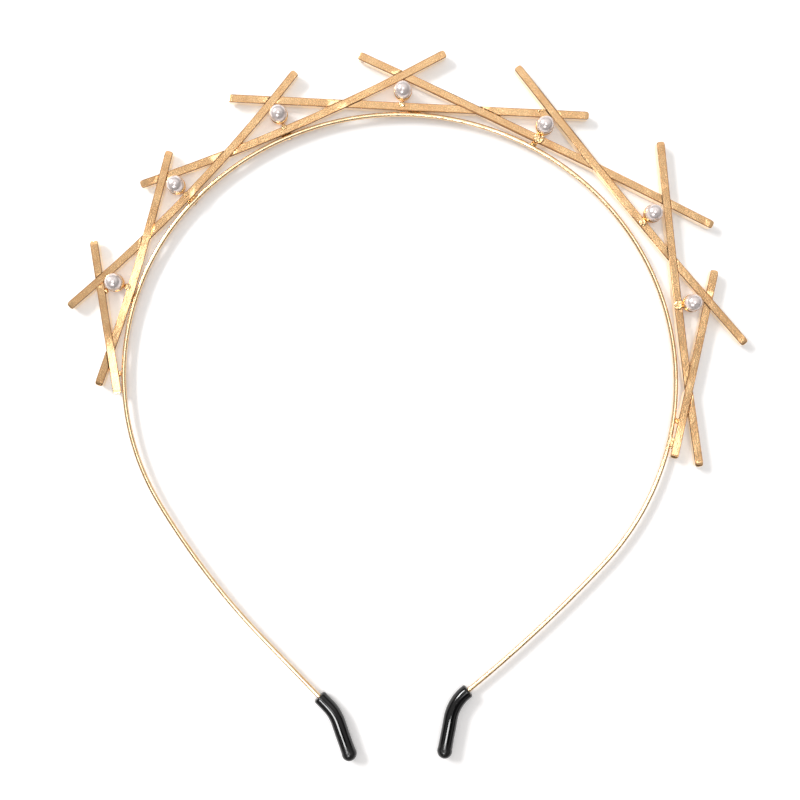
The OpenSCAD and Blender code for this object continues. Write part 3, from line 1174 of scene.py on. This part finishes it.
@dataclass
class Studio:
    """The white table, the soft light and the camera that looks straight down."""

    # Picture's middle and width in the wire's plane, and the camera's height above it
    view_x_mm: float = -0.047
    view_y_mm: float = -2.245
    view_width_mm: float = 187.04
    camera_height_mm: float = 220.0
    camera_near_mm: float = 10.0
    table_m: float = 8.0
    lamps: tuple[Lamp, ...] = (
        Lamp("soft_box", (-1.7, -1.1), (0.56, 1.36), 1.2, 51.0),
        Lamp("overhead", (-0.2, 0.4), (-0.3, 0.3), 1.6, 4.0),
        Lamp("strip", (-0.15, -0.02), (-0.235, -0.155), 0.3, 0.55, lights_floor=False),
    )
    room_tone: str = "#fffdfb"
    # The room's light at the horizon and overhead, and the heights between which it rises
    room_horizon: float = 0.07
    room_zenith: float = 0.53
    rise_z: tuple[float, float] = (0.1, 0.7)
    # The near side overhead is dark: its share of the light, and where that fades out going far and down
    room_front: float = 0.1
    front_y: tuple[float, float] = (-0.24, -0.12)
    front_z: tuple[float, float] = (0.75, 0.6)
    # The far side is bright: its share of the light, and where that starts and is full
    room_back: float = 1.85
    back_y: tuple[float, float] = (0.2, 0.36)

    def camera(self) -> None:
        """Stand the camera over the crown, with the crown's top up in the picture."""
        data = bpy.data.cameras.new("camera")
        data.sensor_fit = "HORIZONTAL"
        data.angle = 2 * math.atan(self.view_width_mm / 2 / self.camera_height_mm)
        data.clip_start = self.camera_near_mm * MM
        camera = bpy.data.objects.new("camera", data)
        camera.location = Vector((self.view_x_mm, self.view_y_mm, self.camera_height_mm)) * MM
        bpy.context.scene.collection.objects.link(camera)
        bpy.context.scene.camera = camera

    def table(self) -> None:
        """Lay the white table under the lowest point of the crown."""
        bm = bmesh.new()
        bmesh.ops.create_grid(bm, x_segments=1, y_segments=1, size=self.table_m / 2)
        mesh = bpy.data.meshes.new("table")
        bm.to_mesh(mesh)
        bm.free()
        mesh.materials.append(TABLE.material())
        table = bpy.data.objects.new("table", mesh)
        table.location.z = CAD_BOX[0][2]
        bpy.context.scene.collection.objects.link(table)

    def room(self) -> None:
        """Fill the room with light: dim at the horizon, dark near overhead and bright on the far side."""
        world = bpy.data.worlds.new("room")
        bpy.context.scene.world = world
        world.use_nodes = True
        tree = world.node_tree
        tree.nodes.clear()
        way = add(tree, "ShaderNodeTexCoord").outputs["Generated"]
        sides = add(tree, "ShaderNodeSeparateXYZ", {0: way}).outputs
        height = add(tree, "ShaderNodeMapRange", {
            "Value": sides["Z"], "From Min": self.rise_z[0], "From Max": self.rise_z[1],
            "To Min": self.room_horizon, "To Max": self.room_zenith,
        }, interpolation_type="SMOOTHSTEP").outputs[0]
        overhead = add(tree, "ShaderNodeMapRange", {
            "Value": sides["Z"], "From Min": self.front_z[0], "From Max": self.front_z[1],
            "To Min": self.room_front, "To Max": 1.0,
        }, interpolation_type="SMOOTHSTEP").outputs[0]
        front = add(tree, "ShaderNodeMapRange", {
            "Value": sides["Y"], "From Min": self.front_y[0], "From Max": self.front_y[1],
            "To Min": overhead, "To Max": 1.0,
        }, interpolation_type="SMOOTHSTEP").outputs[0]
        back = add(tree, "ShaderNodeMapRange", {
            "Value": sides["Y"], "From Min": self.back_y[0], "From Max": self.back_y[1],
            "To Min": 1.0, "To Max": self.room_back,
        }, interpolation_type="SMOOTHSTEP").outputs[0]
        depth = add(tree, "ShaderNodeMath", {0: front, 1: back}, operation="MULTIPLY").outputs[0]
        level = add(tree, "ShaderNodeMath", {0: height, 1: depth}, operation="MULTIPLY").outputs[0]
        room = add(tree, "ShaderNodeBackground", {"Color": linear(self.room_tone), "Strength": level})
        add(tree, "ShaderNodeOutputWorld", {"Surface": room.outputs[0]})

    def build(self) -> None:
        """Set up the camera, the table, the light and the plain view transform."""
        self.camera()
        self.table()
        for lamp in self.lamps:
            lamp.hang()
        self.room()
        bpy.context.scene.view_settings.view_transform = "Standard"


def main() -> None:
    """Build the studio and dress the crown, sub-assembly by sub-assembly."""
    logging.basicConfig(level=logging.INFO, format="%(name)s: %(message)s")
    Studio().build()
    band = Band()
    for part in (band, EndCaps(band), BarNest(), PearlSettings(), SolderJoints()):
        part.build()


if __name__ == "__main__":
    main()
